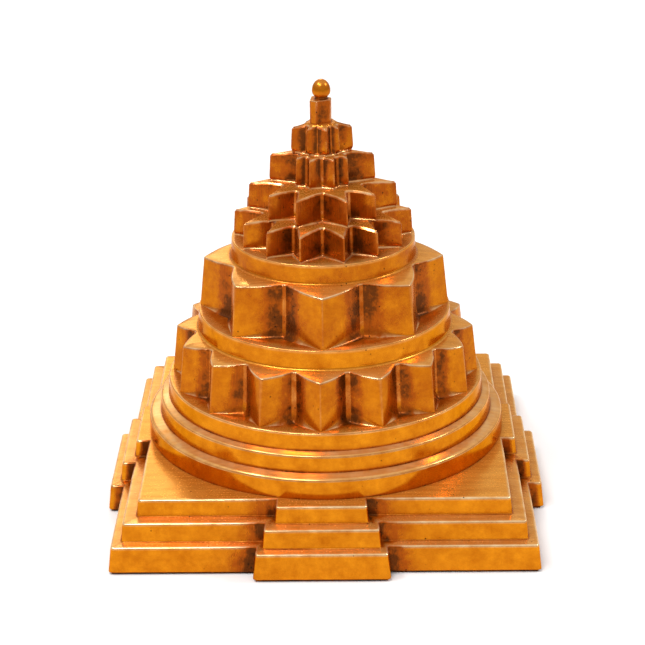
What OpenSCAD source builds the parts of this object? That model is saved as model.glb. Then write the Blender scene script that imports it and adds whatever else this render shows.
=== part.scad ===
// Meru shri yantra: a stepped metal yantra, cast in tiers that are stacked on one
// axis and drawn together by a tie rod. The front gate faces -Y, and the origin is
// the middle of the underside.

/* [Bhupura] */
// Width of the lower square step at its foot
lower_step_w = 138.6; // [136:0.2:142]
// Width of the middle square step at its foot
middle_step_w = 130.4; // [128:0.2:133]
// Width of the upper square step at its foot
upper_step_w = 120.6; // [119:0.2:124]
// Height of the lower step at its edge
lower_step_h = 9.4; // [7.5:0.1:11]
// Height of the middle step at its edge
middle_step_h = 6.3; // [5:0.1:8]
// Height of the upper step
upper_step_h = 5.7; // [5:0.1:8]
// Rise of the lower two steps from their edge to the next wall
step_rise = 0.3; // [0.1:0.1:0.6]
// Width of the gates on the lower step, at their foot
lower_gate_w = 44; // [40:0.2:48]
// Width of the gates on the middle step
middle_gate_w = 38; // [34:0.2:42]
// Width of the gates on the upper step
upper_gate_w = 30.2; // [27:0.2:33]
// How far the front and back gates of the lower step stand out
lower_gate_out = 5.6; // [4:0.1:7]
// How far those of the middle step stand out
middle_gate_out = 5.5; // [4:0.1:7]
// How far those of the upper step stand out
upper_gate_out = 5.8; // [4:0.1:7]
// How far the side gates stand out, as a share of that
side_gate_share = 0.77; // [0.6:0.01:1]
// How far the front and back gates stand left of the middle, seen from the front
front_gate_off = 0.8; // [0:0.1:2]
// How far the side gates of the lower step stand forward of the middle
side_gate_off = 2.4; // [0:0.1:4]
// How much less they do so on each step above
side_gate_creep = 1.2; // [0:0.1:1.6]
// Lean of the cast sides of steps and gates, in degrees
step_draft = 5.5; // [2:0.5:9]
// Radius on the upright corners of steps and gates
corner_r = 1.2; // [0.5:0.1:2]

/* [Girdles] */
// Radius of the lower girdle at its top edge
lower_girdle_r = 60.2; // [58:0.1:61]
// Radius of the middle girdle
middle_girdle_r = 56.1; // [54.5:0.1:57.5]
// Radius of the upper girdle
upper_girdle_r = 53.2; // [52.6:0.1:54]
// Height of the lower girdle's wall
lower_girdle_h = 7; // [5:0.1:9]
// Height of the middle girdle's wall
middle_girdle_h = 5.8; // [4.5:0.1:8]
// Height of the upper girdle's wall
upper_girdle_h = 6; // [4.5:0.1:8]
// Rise of a tread from its edge to the next wall
tread_rise = 0.5; // [0.2:0.1:1]
// Lean of the round walls, in degrees
round_draft = 2.5; // [0:0.5:5]

/* [Sixteen petals] */
// Radius to the petal tips at their foot
petal16_tip_r = 51.9; // [50:0.1:52.2]
// Radius to the notches between the petals
petal16_notch_r = 44.6; // [44.2:0.1:46]
// Height of the lotus at its middle
petal16_h = 17.3; // [14:0.1:20]
// Turn of the sixteen petals from the front, in degrees
petal16_turn = -1; // [-4:0.5:4]

/* [Eight petals] */
// Radius of the round dais under the eight petals
dais8_r = 42.3; // [42:0.1:43]
// Height of that dais
dais8_h = 6.8; // [5:0.1:9]
// Radius to the petal tips at their foot
petal8_tip_r = 41.8; // [40:0.1:41.9]
// Radius to the notches between the petals
petal8_notch_r = 32.8; // [32.4:0.1:34]
// Height of the lotus at its middle
petal8_h = 18.1; // [14:0.2:20]

/* [Petals in common] */
// How far a petal tip leans in over its whole height
petal_lean = 1.8; // [0.5:0.1:2.5]
// Radius of the cast fillet down each notch
petal_notch_fillet = 1; // [0.5:0.1:1.4]
// Half the turn of a petal's bowed flank between notch and tip, in degrees
petal_bend = 11; // [4:1:16]
// Width of the root fillet in the notches of a lotus
petal_foot_w = 1.4; // [0.6:0.1:1.8]
// Height of that fillet
petal_foot_h = 2; // [1:0.1:3]
// Fall of the petal tops towards their tips, in degrees
petal_top_fall = 9; // [2:0.5:12]

// Radius of the fillet at the root of the round daises
dais_flare = 1; // [0.4:0.1:1.2]

/* [Stars] */
// Radius of the round dais under the stars
star_dais_r = 30.6; // [30.3:0.1:31]
// Height of that dais
star_dais_h = 6.6; // [5:0.1:9]
// Radius of the fourteen points above their undercut
star14_tip_r = 29.8; // [28:0.1:30]
// Radius of its notches
star14_notch_r = 20.4; // [19:0.1:22]
// Radius of the short points of the outer ten
star_outer10_tip_r = 22.7; // [21:0.1:23.4]
// Radius of its two side points
star_outer10_side_r = 24.8; // [23.5:0.1:25.5]
// Radius of its notches
star_outer10_notch_r = 13.6; // [13:0.1:15]
// Radius of the short points of the inner ten
star_inner10_tip_r = 11.2; // [10.8:0.1:12.5]
// Radius of its two side points
star_inner10_side_r = 17.7; // [15:0.1:18]
// Radius of its notches
star_inner10_notch_r = 7.8; // [7.6:0.1:8.4]
// Radius of the short points of the eight
star8_tip_r = 7.2; // [7:0.1:8]
// Radius of its two long points
star8_side_r = 10.5; // [9.6:0.1:10.8]
// Radius of its notches
star8_notch_r = 5.4; // [5.2:0.1:6]
// Height of the fourteen-point star
star14_h = 9.4; // [8:0.1:11]
// Height of the outer ten-point star
star_outer10_h = 9.5; // [8:0.1:11]
// Height of the inner ten-point star
star_inner10_h = 10; // [8:0.1:11]
// Height of the eight-point star
star8_h = 10.1; // [8.5:0.1:11]
// Radius of the cast fillet down each notch of a star
star_notch_fillet = 0.8; // [0.4:0.1:1]
// How far a star point leans in over its height
star_lean = 0.5; // [0.2:0.1:1]
// Fall of the star tops towards their points, in degrees
star_top_fall = 6; // [2:0.5:9]
// Fall of the top of the eight-point star, in degrees
star8_top_fall = 11; // [4:0.5:14]
// Width of the root fillet in the notches of a star
star_foot_w = 0.8; // [0.4:0.1:1]
// Height of that fillet
star_foot_h = 1.1; // [0.6:0.1:1.6]
// How far the points of a star are cut under at their root
star_undercut = 0.6; // [0.2:0.1:0.8]

/* [Trikona and bindu] */
// Distance from the middle of the trikona to its three broad faces
trikona_face = 3.05; // [2.6:0.05:3.15]
// Distance to its three cut corners
trikona_corner = 3.7; // [3.3:0.05:3.8]
// Height of the trikona
trikona_h = 7.8; // [6:0.1:10]
// How far the trikona stands left of the axis
trikona_off = 0.5; // [0:0.1:0.8]
// Turn of one broad face of the trikona from the front, in degrees
trikona_turn = 25; // [-30:1:30]
// Radius of the bindu
bindu_r = 3.05; // [2.7:0.01:3.2]
// Height of the bindu above its widest place
bindu_rise = 3.85; // [3:0.05:4]
// Depth of the full curve below its widest place
bindu_drop = 2.6; // [2.2:0.05:3]
// Radius of the neck under the bindu
bindu_neck_r = 2.1; // [1.8:0.05:2.3]
// Height of that neck
bindu_neck_h = 0.8; // [0.5:0.1:1.4]

/* [Fixings] */
// Radius of the tie rod
rod_r = 2.5; // [2:0.1:2.6]
// Free space round the rod in the tiers it passes
rod_clearance = 0.25; // [0.1:0.05:0.4]
// Free space round a screwed or pinned piece
screw_clearance = 0.05; // [0.02:0.01:0.1]
// How far the rod is screwed into the eight-point star
rod_grip = 5.5; // [4:0.1:5.6]
// Radius of the clamp washer
washer_r = 6; // [5.5:0.1:6.4]
// Thickness of the clamp washer
washer_t = 1; // [0.8:0.1:1.2]
// Width of the clamp nut across its flats
nut_w = 8; // [7.5:0.1:9]
// Height of the clamp nut
nut_h = 2.7; // [2.4:0.1:2.9]
// Depth from the underside to the end of the rod
rod_recess = 0.4; // [0.2:0.1:0.6]
// Free space round the washer in its counterbore
counterbore_clearance = 0.8; // [0.4:0.1:1]
// Height of the round seat under each tier
seat_h = 1.5; // [1:0.1:1.8]
// Free space round a seat and under it
seat_clearance = 0.1; // [0.05:0.05:0.2]
// Radius of the seats in the bhupura and girdles
base_seat_r = 30; // [26:0.5:34]
// Radius of the seats in the lotuses
lotus_seat_r = 20; // [16:0.5:22]
// Radius of the seats under the fourteen and outer ten points
star_seat_r = 8; // [7:0.1:9]
// Radius of the seats under the inner ten and eight points
crest_seat_r = 4.2; // [4:0.1:4.4]
// Radius of the locating pins
pin_r = 1; // [0.8:0.05:1.1]
// Radius of the small pins under the upper two stars
small_pin_r = 0.6; // [0.5:0.05:0.7]
// Length of a pin in each of the two pieces it joins
pin_half = 2.4; // [2:0.1:2.6]
// Radius of the stem under the bindu
stem_r = 1.1; // [0.9:0.05:1.2]
// How far the stem is screwed into the eight-point star
stem_grip = 2.4; // [1.8:0.1:2.6]

/* [Hidden] */
$fn = 96;
front = -90;
arc_steps = 5;
fillet_steps = 4;
corner_steps = 4;
egg_steps = 20;
// Least width of the sloping rim outside the land
land_margin = 0.3;
// Where the faces of a cap are gathered, as a share of the notch radius and of the land
cap_share = 0.96;
land_share = 0.9;

lower_step_z = 0;
middle_step_z = lower_step_z + lower_step_h + step_rise;
upper_step_z = middle_step_z + middle_step_h + step_rise;
lower_girdle_z = upper_step_z + upper_step_h;
middle_girdle_z = lower_girdle_z + lower_girdle_h + tread_rise;
upper_girdle_z = middle_girdle_z + middle_girdle_h + tread_rise;
petal16_z = upper_girdle_z + upper_girdle_h;
dais8_z = petal16_z + petal16_h;
petal8_z = dais8_z + dais8_h;
star_dais_z = petal8_z + petal8_h;
star14_z = star_dais_z + star_dais_h;
star_outer10_z = star14_z + star14_h;
star_inner10_z = star_outer10_z + star_outer10_h;
star8_z = star_inner10_z + star_inner10_h;
trikona_z = star8_z + star8_h;
bindu_z = trikona_z + trikona_h;

// The three steps, from the lowest up
step_ws = [lower_step_w, middle_step_w, upper_step_w];
step_hs = [lower_step_h, middle_step_h, upper_step_h];
gate_ws = [lower_gate_w, middle_gate_w, upper_gate_w];
gate_outs = [lower_gate_out, middle_gate_out, upper_gate_out];
// Sides of a step in turn are the right, back, left and front: how far their gates
// stand out, as shares, and which way they stand off the middle
side_shares = [side_gate_share, 1, side_gate_share, 1];
side_signs = [-1, 1, 1, -1];

rod_bore_r = rod_r + rod_clearance;
washer_z = rod_recess + nut_h;
counterbore_r = washer_r + counterbore_clearance;
counterbore_h = washer_z + washer_t;
rod_top_z = star8_z + rod_grip;

// Points of a star on one quarter as turns from the front, then mirrored all round
star14_turns = [14, 37.5, 61, 90];
star10_turns = [21.5, 51, 90];
// Turns of the long points of the ten-point stars
ten_long_turns = [90, 270];
// The eight points are cut by eye, so each has its own turn. Two of them are long
star8_turns = [13, 56, 91, 137, 193, 236, 280, 317];
star8_long_turns = [91, 280];
// Flat land on the eight-point star, which the trikona stands on
star8_land_r = 4.6;

// Where each pin stands: height of the seat, radius from the axis, turn, pin radius
base_pin_at = 44;
lotus_pin_at = 26;
star_pin_at = 11;
side_pin_at = 6;
crest_pin_at = 6.3;
PINS = [
    [middle_step_z, base_pin_at, 45, pin_r],
    [upper_step_z, base_pin_at, 135, pin_r],
    [lower_girdle_z, base_pin_at, 225, pin_r],
    [middle_girdle_z, base_pin_at, 315, pin_r],
    [upper_girdle_z, base_pin_at, 45, pin_r],
    [petal16_z, lotus_pin_at, 135, pin_r],
    [dais8_z, lotus_pin_at, 225, pin_r],
    [petal8_z, lotus_pin_at, 315, pin_r],
    [star_dais_z, lotus_pin_at, 45, pin_r],
    [star14_z, star_pin_at, 135, pin_r],
    [star_outer10_z, star_pin_at, 225, pin_r],
    [star_inner10_z, side_pin_at, 0, small_pin_r],
    [star8_z, crest_pin_at, front + star8_long_turns[1], small_pin_r]
];

function polar(r, a) = [r * cos(a), r * sin(a)];
function unit(v) = v / norm(v);
function turned(points, a) =
    [for (p = points) [p.x * cos(a) - p.y * sin(a), p.x * sin(a) + p.y * cos(a)]];

// Arc of a convex corner between the directions a0 and a1
function corner_arc(c, r, a0, a1) =
    [for (i = [0:corner_steps]) c + polar(r, a0 + (a1 - a0) * i / corner_steps)];

// One side of a step, from its corner to the far end of its gate, facing +X
function step_side(half, gate_half, out, off) = concat(
    corner_arc([half - corner_r, corner_r - half], corner_r, -90, 0),
    [[half, off - gate_half]],
    corner_arc([half + out - corner_r, off + corner_r - gate_half], corner_r, -90, 0),
    corner_arc([half + out - corner_r, off + gate_half - corner_r], corner_r, 0, 90),
    [[half, off + gate_half]]
);

// How far the gates on side s of step k stand off the middle
function gate_off(k, s) =
    side_signs[s] * (s % 2 == 1 ? front_gate_off : side_gate_off - k * side_gate_creep);

// Outline of step k with its four gates, drawn in by the inset
function step_outline(k, inset) = [
    for (s = [0:3])
        each turned(
            step_side(
                step_ws[k] / 2 - inset, gate_ws[k] / 2 - inset,
                gate_outs[k] * side_shares[s], gate_off(k, s)
            ),
            90 * s
        )
];

// Turns of all points of a star from those on the front right quarter
function all_turns(quarter) =
    let (
        back = [
            for (i = [len(quarter) - 1:-1:0])
                if (quarter[i] < 90) 180 - quarter[i]
        ],
        right = concat(quarter, back)
    )
    concat(right, [for (a = right) a + 180]);

// Round bottom of the notch at v between the points a and b
function notch_arc(v, a, b, fillet) =
    let (
        to_a = unit(a - v),
        to_b = unit(b - v),
        half = acos(to_a * to_b) / 2,
        mid = unit(to_a + to_b),
        centre = v + mid * fillet / sin(half),
        sweep = 90 - half,
        a0 = atan2(-mid.y, -mid.x)
    )
    [
        for (i = [0:fillet_steps])
            centre + polar(fillet, a0 - sweep + 2 * sweep * i / fillet_steps)
    ];

// Points between a and b on an arc that bows outwards and turns by twice the bend
function bowed(a, b, bend) =
    bend == 0 ? [] :
    let (
        chord = b - a,
        r = norm(chord) / (2 * sin(bend)),
        inward = [-chord.y, chord.x] / norm(chord),
        centre = (a + b) / 2 + inward * r * cos(bend),
        a0 = atan2(a.y - centre.y, a.x - centre.x)
    )
    [for (i = [1:arc_steps - 1]) centre + polar(r, a0 + 2 * bend * i / arc_steps)];

// Outline of a ring of points, given as [turn from the front, radius], with a
// filleted notch between each two and flanks that are straight or bowed
function ring_outline(points, notch_r, fillet, bend) = [
    for (k = [0:len(points) - 1])
        let (
            here = points[k],
            after = points[(k + 1) % len(points)],
            gap = (after[0] - here[0] + 360) % 360,
            v = polar(notch_r, front + here[0] + gap / 2),
            a = polar(here[1], front + here[0]),
            b = polar(after[1], front + after[0]),
            notch = notch_arc(v, a, b, fillet)
        )
        each concat(
            [a], bowed(a, notch[0], bend), notch, bowed(notch[fillet_steps], b, bend)
        )
];

// Outline of a lotus, with a petal at the turn from the front
function lotus_outline(count, tip_r, notch_r, turn) = ring_outline(
    [for (k = [0:count - 1]) [turn + 360 * k / count, tip_r]],
    notch_r, petal_notch_fillet, petal_bend
);

// Points of a star as [turn, radius], where those at the long turns reach to side_r
function star_points(turns, tip_r, side_r, long_turns) =
    [for (a = turns) [a, len(search(a, long_turns)) > 0 ? side_r : tip_r]];

// Outline raised to a height
function at_height(outline, z) = [for (p = outline) [p.x, p.y, z]];

// Outline at the top of a tier, which falls away outside land_r
function at_crown(outline, h, land_r, fall) =
    [for (p = outline) [p.x, p.y, h - max(0, norm(p) - land_r) * tan(fall)]];

// Edge of the flat land that the tier above stands on, point for point with the outline
function at_land(outline, h, land_r) = [
    for (p = outline)
        let (q = unit(p) * min(land_r, norm(p) - land_margin)) [q.x, q.y, h]
];

// One point in each sector of an outline, on the ray of the sector's first point
function cap_ring(ring, sectors, r) =
    sectors == 0 ? [] :
    [
        for (k = [0:sectors - 1])
            let (p = ring[k * len(ring) / sectors], q = r * unit([p.x, p.y]))
            [q.x, q.y, p.z]
    ];

// Flat cap of an outline that starts at point o. It is gathered to the cap ring that
// starts at point c, and then to the point a on the axis, or straight to that point
function cap_faces(n, sectors, o, c, a) =
    sectors == 0 ? [for (i = [0:n - 1]) [a, o + i, o + (i + 1) % n]] :
    let (per = n / sectors, mid = per / 2)
    [
        for (k = [0:sectors - 1])
            let (here = c + k, after = c + (k + 1) % sectors)
            each concat(
                [
                    for (i = [0:per - 1])
                        [o + k * per + i, o + (k * per + i + 1) % n, i < mid ? here : after]
                ],
                [[o + k * per + mid, after, here], [a, here, after]]
            )
    ];

// Solid through rings of equal count, closed by a flat cap below and above
module loft(rings, sectors = 0, low_r = 0, high_r = 0) {
    n = len(rings[0]);
    last = len(rings) - 1;
    low = (last + 1) * n;
    high = low + sectors;
    foot = high + sectors;
    head = foot + 1;
    polyhedron(
        points = concat(
            [for (ring = rings) each ring],
            cap_ring(rings[0], sectors, low_r),
            cap_ring(rings[last], sectors, high_r),
            [[0, 0, rings[0][0].z], [0, 0, rings[last][0].z]]
        ),
        faces = concat(
            cap_faces(n, sectors, 0, low, foot),
            [for (k = [0:last - 1]) for (i = [0:n - 1])
                [k * n + i, (k + 1) * n + i, k * n + (i + 1) % n]],
            [for (k = [0:last - 1]) for (i = [0:n - 1])
                [k * n + (i + 1) % n, (k + 1) * n + i, (k + 1) * n + (i + 1) % n]],
            [for (f = cap_faces(n, sectors, last * n, high, head)) [f[2], f[1], f[0]]]
        )
    );
}

// Round seat under a tier, which drops into the piece below
module seat(z, r) {
    translate([0, 0, z - seat_h]) cylinder(h = seat_h + seat_clearance, r = r);
}

// Hollow for the seat of the tier above
module seat_hollow(z, r) {
    depth = seat_h + seat_clearance;
    translate([0, 0, z - depth]) cylinder(h = 2 * depth, r = r + seat_clearance);
}

module rod_bore() {
    translate([0, 0, -1]) cylinder(h = bindu_z, r = rod_bore_r);
}

// Holes for the pins at one joint
module pin_holes(z) {
    depth = pin_half + seat_clearance;
    for (p = PINS)
        if (p[0] == z)
            rotate(p[2])
                translate([p[1], 0, z - depth])
                    cylinder(h = 2 * depth, r = p[3] + screw_clearance, $fn = 48);
}

// Square plate k with four gates and leaning sides, whose edge rises to the next step
module step(k, z) {
    h = step_hs[k];
    edge = at_height(step_outline(k, h * tan(step_draft)), h);
    land = k == 2 ? [] : [at_height(step_outline(k + 1, 0), h + step_rise)];
    translate([0, 0, z])
        loft(concat([at_height(step_outline(k, 0), 0), edge], land));
}

module lower_bhupura_step() {
    color("#c8792c")
        difference() {
            step(0, lower_step_z);
            rod_bore();
            seat_hollow(middle_step_z, base_seat_r);
            pin_holes(middle_step_z);
            translate([0, 0, -1]) cylinder(h = counterbore_h + 1, r = counterbore_r);
        }
}

module middle_bhupura_step() {
    color("#d0853a")
        difference() {
            union() {
                step(1, middle_step_z);
                seat(middle_step_z, base_seat_r);
            }
            rod_bore();
            seat_hollow(upper_step_z, base_seat_r);
            pin_holes(middle_step_z);
            pin_holes(upper_step_z);
        }
}

module upper_bhupura_step() {
    color("#d89148")
        difference() {
            union() {
                step(2, upper_step_z);
                seat(upper_step_z, base_seat_r);
            }
            rod_bore();
            seat_hollow(lower_girdle_z, base_seat_r);
            pin_holes(upper_step_z);
            pin_holes(lower_girdle_z);
        }
}

// Radius of a round wall at its foot
function foot_r(r, h) = r + h * tan(round_draft);

// Radius of a dais where its root fillet meets the floor
function dais_foot_r(r, h) = foot_r(r, h - dais_flare) + dais_flare;

// Girdle: a leaning wall, and a tread that rises to the next wall
module girdle(z, r, h, land_r, rise) {
    translate([0, 0, z])
        rotate_extrude()
            polygon([[0, 0], [foot_r(r, h), 0], [r, h], [land_r, h + rise], [0, h + rise]]);
}

// Dais: a leaning wall on a filleted root
module dais(z, r, h) {
    centre = [dais_foot_r(r, h), dais_flare];
    root = [for (i = [0:arc_steps]) centre + polar(dais_flare, 270 - 90 * i / arc_steps)];
    translate([0, 0, z])
        rotate_extrude()
            polygon(concat([[0, 0]], root, [[r, h], [0, h]]));
}

module lower_girdle() {
    color("#dd9a52")
        difference() {
            union() {
                girdle(
                    lower_girdle_z, lower_girdle_r, lower_girdle_h,
                    foot_r(middle_girdle_r, middle_girdle_h), tread_rise
                );
                seat(lower_girdle_z, base_seat_r);
            }
            rod_bore();
            seat_hollow(middle_girdle_z, base_seat_r);
            pin_holes(lower_girdle_z);
            pin_holes(middle_girdle_z);
        }
}

module middle_girdle() {
    color("#d08434")
        difference() {
            union() {
                girdle(
                    middle_girdle_z, middle_girdle_r, middle_girdle_h,
                    foot_r(upper_girdle_r, upper_girdle_h), tread_rise
                );
                seat(middle_girdle_z, base_seat_r);
            }
            rod_bore();
            seat_hollow(upper_girdle_z, base_seat_r);
            pin_holes(middle_girdle_z);
            pin_holes(upper_girdle_z);
        }
}

module upper_girdle() {
    color("#dc9648")
        difference() {
            union() {
                girdle(upper_girdle_z, upper_girdle_r, upper_girdle_h, base_seat_r, 0);
                seat(upper_girdle_z, base_seat_r);
            }
            rod_bore();
            seat_hollow(petal16_z, lotus_seat_r);
            pin_holes(upper_girdle_z);
            pin_holes(petal16_z);
        }
}

// Ring of pointed-arch petals with filleted roots, and tops that fall to the tips
module lotus(count, tip_r, notch_r, h, land_r, turn = 0) {
    top = lotus_outline(
        count, tip_r - petal_lean, notch_r - petal_lean * notch_r / tip_r / 2, turn
    );
    loft([
        at_height(lotus_outline(count, tip_r, notch_r + petal_foot_w, turn), 0),
        at_height(lotus_outline(count, tip_r, notch_r, turn), petal_foot_h),
        at_crown(top, h, land_r, petal_top_fall),
        at_land(top, h, land_r)
    ], count, cap_share * notch_r, min(cap_share * notch_r, land_share * land_r));
}

module sixteen_petal_lotus() {
    color("#c87a26")
        difference() {
            union() {
                translate([0, 0, petal16_z])
                    lotus(
                        16, petal16_tip_r, petal16_notch_r, petal16_h,
                        dais_foot_r(dais8_r, dais8_h), petal16_turn
                    );
                seat(petal16_z, lotus_seat_r);
            }
            rod_bore();
            seat_hollow(dais8_z, lotus_seat_r);
            pin_holes(petal16_z);
            pin_holes(dais8_z);
        }
}

module eight_lotus_dais() {
    color("#dc9648")
        difference() {
            union() {
                dais(dais8_z, dais8_r, dais8_h);
                seat(dais8_z, lotus_seat_r);
            }
            rod_bore();
            seat_hollow(petal8_z, lotus_seat_r);
            pin_holes(dais8_z);
            pin_holes(petal8_z);
        }
}

module eight_petal_lotus() {
    color("#c87a26")
        difference() {
            union() {
                translate([0, 0, petal8_z])
                    lotus(
                        8, petal8_tip_r, petal8_notch_r, petal8_h,
                        dais_foot_r(star_dais_r, star_dais_h)
                    );
                seat(petal8_z, lotus_seat_r);
            }
            rod_bore();
            seat_hollow(star_dais_z, lotus_seat_r);
            pin_holes(petal8_z);
            pin_holes(star_dais_z);
        }
}

module star_dais() {
    color("#dc9648")
        difference() {
            union() {
                dais(star_dais_z, star_dais_r, star_dais_h);
                seat(star_dais_z, lotus_seat_r);
            }
            rod_bore();
            seat_hollow(star14_z, star_seat_r);
            pin_holes(star_dais_z);
            pin_holes(star14_z);
        }
}

// Star with filleted notches, undercut points and a top that falls to the points
module star(turns, tip_r, side_r, long_turns, notch_r, h, land_r, fall = star_top_fall) {
    function ring(grow_tip, grow_notch) = ring_outline(
        star_points(turns, tip_r + grow_tip, side_r + grow_tip, long_turns),
        notch_r + grow_notch, star_notch_fillet, 0
    );
    top = ring(-star_lean, -star_lean / 2);
    loft([
        at_height(ring(-star_undercut, star_foot_w), 0),
        at_height(ring(0, 0), star_foot_h),
        at_crown(top, h, land_r, fall),
        at_land(top, h, land_r)
    ], len(turns), cap_share * notch_r, min(cap_share * notch_r, land_share * land_r));
}

module fourteen_point_star() {
    color("#c4742a")
        difference() {
            union() {
                translate([0, 0, star14_z])
                    star(
                        all_turns(star14_turns), star14_tip_r, star14_tip_r, [],
                        star14_notch_r, star14_h, star_outer10_side_r
                    );
                seat(star14_z, star_seat_r);
            }
            rod_bore();
            seat_hollow(star_outer10_z, star_seat_r);
            pin_holes(star14_z);
            pin_holes(star_outer10_z);
        }
}

module outer_ten_point_star() {
    color("#d08434")
        difference() {
            union() {
                translate([0, 0, star_outer10_z])
                    star(
                        all_turns(star10_turns), star_outer10_tip_r, star_outer10_side_r, ten_long_turns,
                        star_outer10_notch_r, star_outer10_h, star_inner10_side_r
                    );
                seat(star_outer10_z, star_seat_r);
            }
            rod_bore();
            seat_hollow(star_inner10_z, crest_seat_r);
            pin_holes(star_outer10_z);
            pin_holes(star_inner10_z);
        }
}

module inner_ten_point_star() {
    color("#c87a26")
        difference() {
            union() {
                translate([0, 0, star_inner10_z])
                    star(
                        all_turns(star10_turns), star_inner10_tip_r, star_inner10_side_r, ten_long_turns,
                        star_inner10_notch_r, star_inner10_h, star8_side_r
                    );
                seat(star_inner10_z, crest_seat_r);
            }
            rod_bore();
            seat_hollow(star8_z, crest_seat_r);
            pin_holes(star_inner10_z);
            pin_holes(star8_z);
        }
}

module eight_point_star() {
    color("#d89148")
        difference() {
            union() {
                translate([0, 0, star8_z])
                    star(
                        star8_turns, star8_tip_r, star8_side_r, star8_long_turns,
                        star8_notch_r, star8_h, star8_land_r, star8_top_fall
                    );
                seat(star8_z, crest_seat_r);
            }
            translate([0, 0, star8_z - seat_h - 1])
                cylinder(h = seat_h + 1 + rod_grip + screw_clearance, r = rod_r + screw_clearance);
            pin_holes(star8_z);
            translate([0, 0, trikona_z - stem_grip - screw_clearance])
                cylinder(h = stem_grip + 1, r = stem_r + screw_clearance);
        }
}

// Outline of a triangle with broad cut corners, where the faces and the cuts take turns
function cut_triangle(face, corner, turn) = [
    for (k = [0:5])
        let (
            near = k % 2 == 0 ? face : corner,
            after = k % 2 == 0 ? corner : face,
            a = front + turn + 60 * k
        )
        polar((near - after / 2) * 4 / 3, a) + polar((after - near / 2) * 4 / 3, a + 60)
];

module trikona_block() {
    color("#b8702c")
        difference() {
            translate([-trikona_off, 0, trikona_z])
                linear_extrude(trikona_h)
                    polygon(cut_triangle(trikona_face, trikona_corner, trikona_turn));
            translate([0, 0, trikona_z - 1])
                cylinder(h = trikona_h + 2, r = stem_r + screw_clearance);
        }
}

// Egg-shaped ball on a neck, with the stem that holds the trikona down
module bindu() {
    low = -acos(bindu_neck_r / bindu_r);
    ball_z = bindu_z + bindu_neck_h - bindu_drop * sin(low);
    egg = [
        for (i = [0:egg_steps])
            let (a = low + (90 - low) * i / egg_steps)
            [bindu_r * cos(a), ball_z + (a < 0 ? bindu_drop : bindu_rise) * sin(a)]
    ];
    stem = [[0, trikona_z - stem_grip], [stem_r, trikona_z - stem_grip], [stem_r, bindu_z]];
    color("#e0a050")
        rotate_extrude()
            polygon(concat(stem, [[bindu_neck_r, bindu_z]], egg));
}

module tie_rod() {
    color("#8c6a3c")
        translate([0, 0, rod_recess]) cylinder(h = rod_top_z - rod_recess, r = rod_r);
}

module clamp_washer() {
    color("#a08050")
        translate([0, 0, washer_z])
            difference() {
                cylinder(h = washer_t, r = washer_r);
                translate([0, 0, -1]) cylinder(h = washer_t + 2, r = rod_bore_r);
            }
}

module clamp_nut() {
    color("#907040")
        translate([0, 0, rod_recess])
            difference() {
                cylinder(h = nut_h, r = nut_w / sqrt(3), $fn = 6);
                translate([0, 0, -1]) cylinder(h = nut_h + 2, r = rod_r + screw_clearance);
            }
}

module locating_pins() {
    color("#8c6a3c")
        for (p = PINS)
            rotate(p[2])
                translate([p[1], 0, p[0] - pin_half])
                    cylinder(h = 2 * pin_half, r = p[3], $fn = 48);
}

lower_bhupura_step();
middle_bhupura_step();
upper_bhupura_step();
lower_girdle();
middle_girdle();
upper_girdle();
sixteen_petal_lotus();
eight_lotus_dais();
eight_petal_lotus();
star_dais();
fourteen_point_star();
outer_ten_point_star();
inner_ten_point_star();
eight_point_star();
trikona_block();
bindu();
tie_rod();
clamp_washer();
clamp_nut();
locating_pins();
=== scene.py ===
# %% [markdown]
# # A cast meru shri yantra
# The object is a stepped pyramid of metal tiers: three square steps with gates,
# three round girdles, two lotuses, four stars, a small prism and a ball. The packed
# model is loaded first as a fixed frame. Every tier is then modelled again with the
# things a foundry and a file leave behind: rounded edges, root fillets, slight waves.

# %% Load the frame
import math

import bmesh
import bpy
from mathutils import Matrix, Vector


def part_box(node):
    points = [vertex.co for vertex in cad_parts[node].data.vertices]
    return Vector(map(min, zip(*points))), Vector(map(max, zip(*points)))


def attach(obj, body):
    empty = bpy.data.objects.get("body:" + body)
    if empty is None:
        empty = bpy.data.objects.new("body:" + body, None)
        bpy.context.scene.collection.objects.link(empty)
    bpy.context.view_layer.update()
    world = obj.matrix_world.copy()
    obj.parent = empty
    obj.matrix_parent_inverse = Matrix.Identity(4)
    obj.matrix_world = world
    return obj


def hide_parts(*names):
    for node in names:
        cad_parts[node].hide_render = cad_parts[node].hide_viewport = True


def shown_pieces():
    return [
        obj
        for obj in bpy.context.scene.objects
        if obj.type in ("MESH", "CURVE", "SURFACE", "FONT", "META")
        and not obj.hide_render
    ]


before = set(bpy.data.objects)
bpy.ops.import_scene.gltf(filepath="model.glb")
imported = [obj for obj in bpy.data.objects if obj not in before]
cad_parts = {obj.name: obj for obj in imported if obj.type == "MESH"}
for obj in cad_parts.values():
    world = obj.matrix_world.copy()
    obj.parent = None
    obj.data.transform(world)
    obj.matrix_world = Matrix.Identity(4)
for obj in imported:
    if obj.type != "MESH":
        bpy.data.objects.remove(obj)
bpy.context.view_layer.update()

MM = 0.001
scene = bpy.context.scene
scene.view_settings.view_transform = "Standard"
print("loaded", len(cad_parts), "nodes")

# %% [markdown]
# ## Sizes
# The sizes are in millimetres and follow those of the solids, because the new pieces
# stand exactly where the solids stand. Heights come from the loaded nodes themselves: a
# tier's seat drops into the tier below, so its foot is one seat height up its box.

# %% Heights of the tiers
SEAT_H = 1.5
SEAT_GAP = 0.1
BORE_R = 2.75
BASE_SEAT_R, LOTUS_SEAT_R, STAR_SEAT_R, CREST_SEAT_R = 30, 20, 8, 4.2


def foot_of(node, seat=SEAT_H):
    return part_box(node)[0].z / MM + seat


def top_of(node):
    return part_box(node)[1].z / MM


print("star dais stands at", round(foot_of("star_dais"), 2), "mm")

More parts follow.
